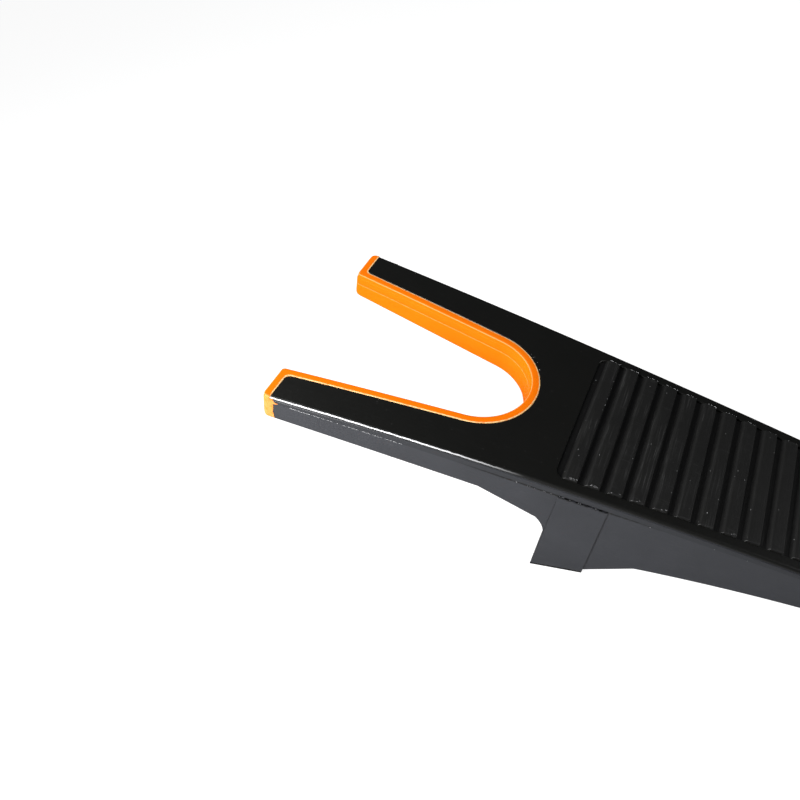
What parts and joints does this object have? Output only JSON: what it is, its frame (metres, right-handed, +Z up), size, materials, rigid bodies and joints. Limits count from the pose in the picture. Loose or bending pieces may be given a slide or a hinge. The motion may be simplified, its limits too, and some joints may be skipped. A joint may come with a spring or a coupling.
{
  "type": "boot jack",
  "caption": "Sloped forked boot jack with a soft-lined heel slot, a rolled-edge deck cover, a cross-bar tread and rubber-padded legs and heel.",
  "frame": {"origin": "centre of the bounding box in plan, on the ground that the pads stand on", "axes": "+X from the fork down to the heel end, +Y across the deck, +Z up"},
  "size_m": [0.2878, 0.1206, 0.1001],
  "materials": {
    "body": "black moulded plastic, satin, lightly textured",
    "cover": "black soft-touch cover, fine matt grain",
    "lining": "orange soft elastomer, satin",
    "tread": "black rubber, satin, with moulding flash at the bar ends",
    "pad": "black rubber, matt"
  },
  "bodies": {
    "root": {"body": "body", "deck_cover": "cover", "slot_lining": "lining", "tread_pad": "tread", "leg_pad_left": "pad", "leg_pad_right": "pad", "heel_pad": "pad"}
  },
  "joints": []
}
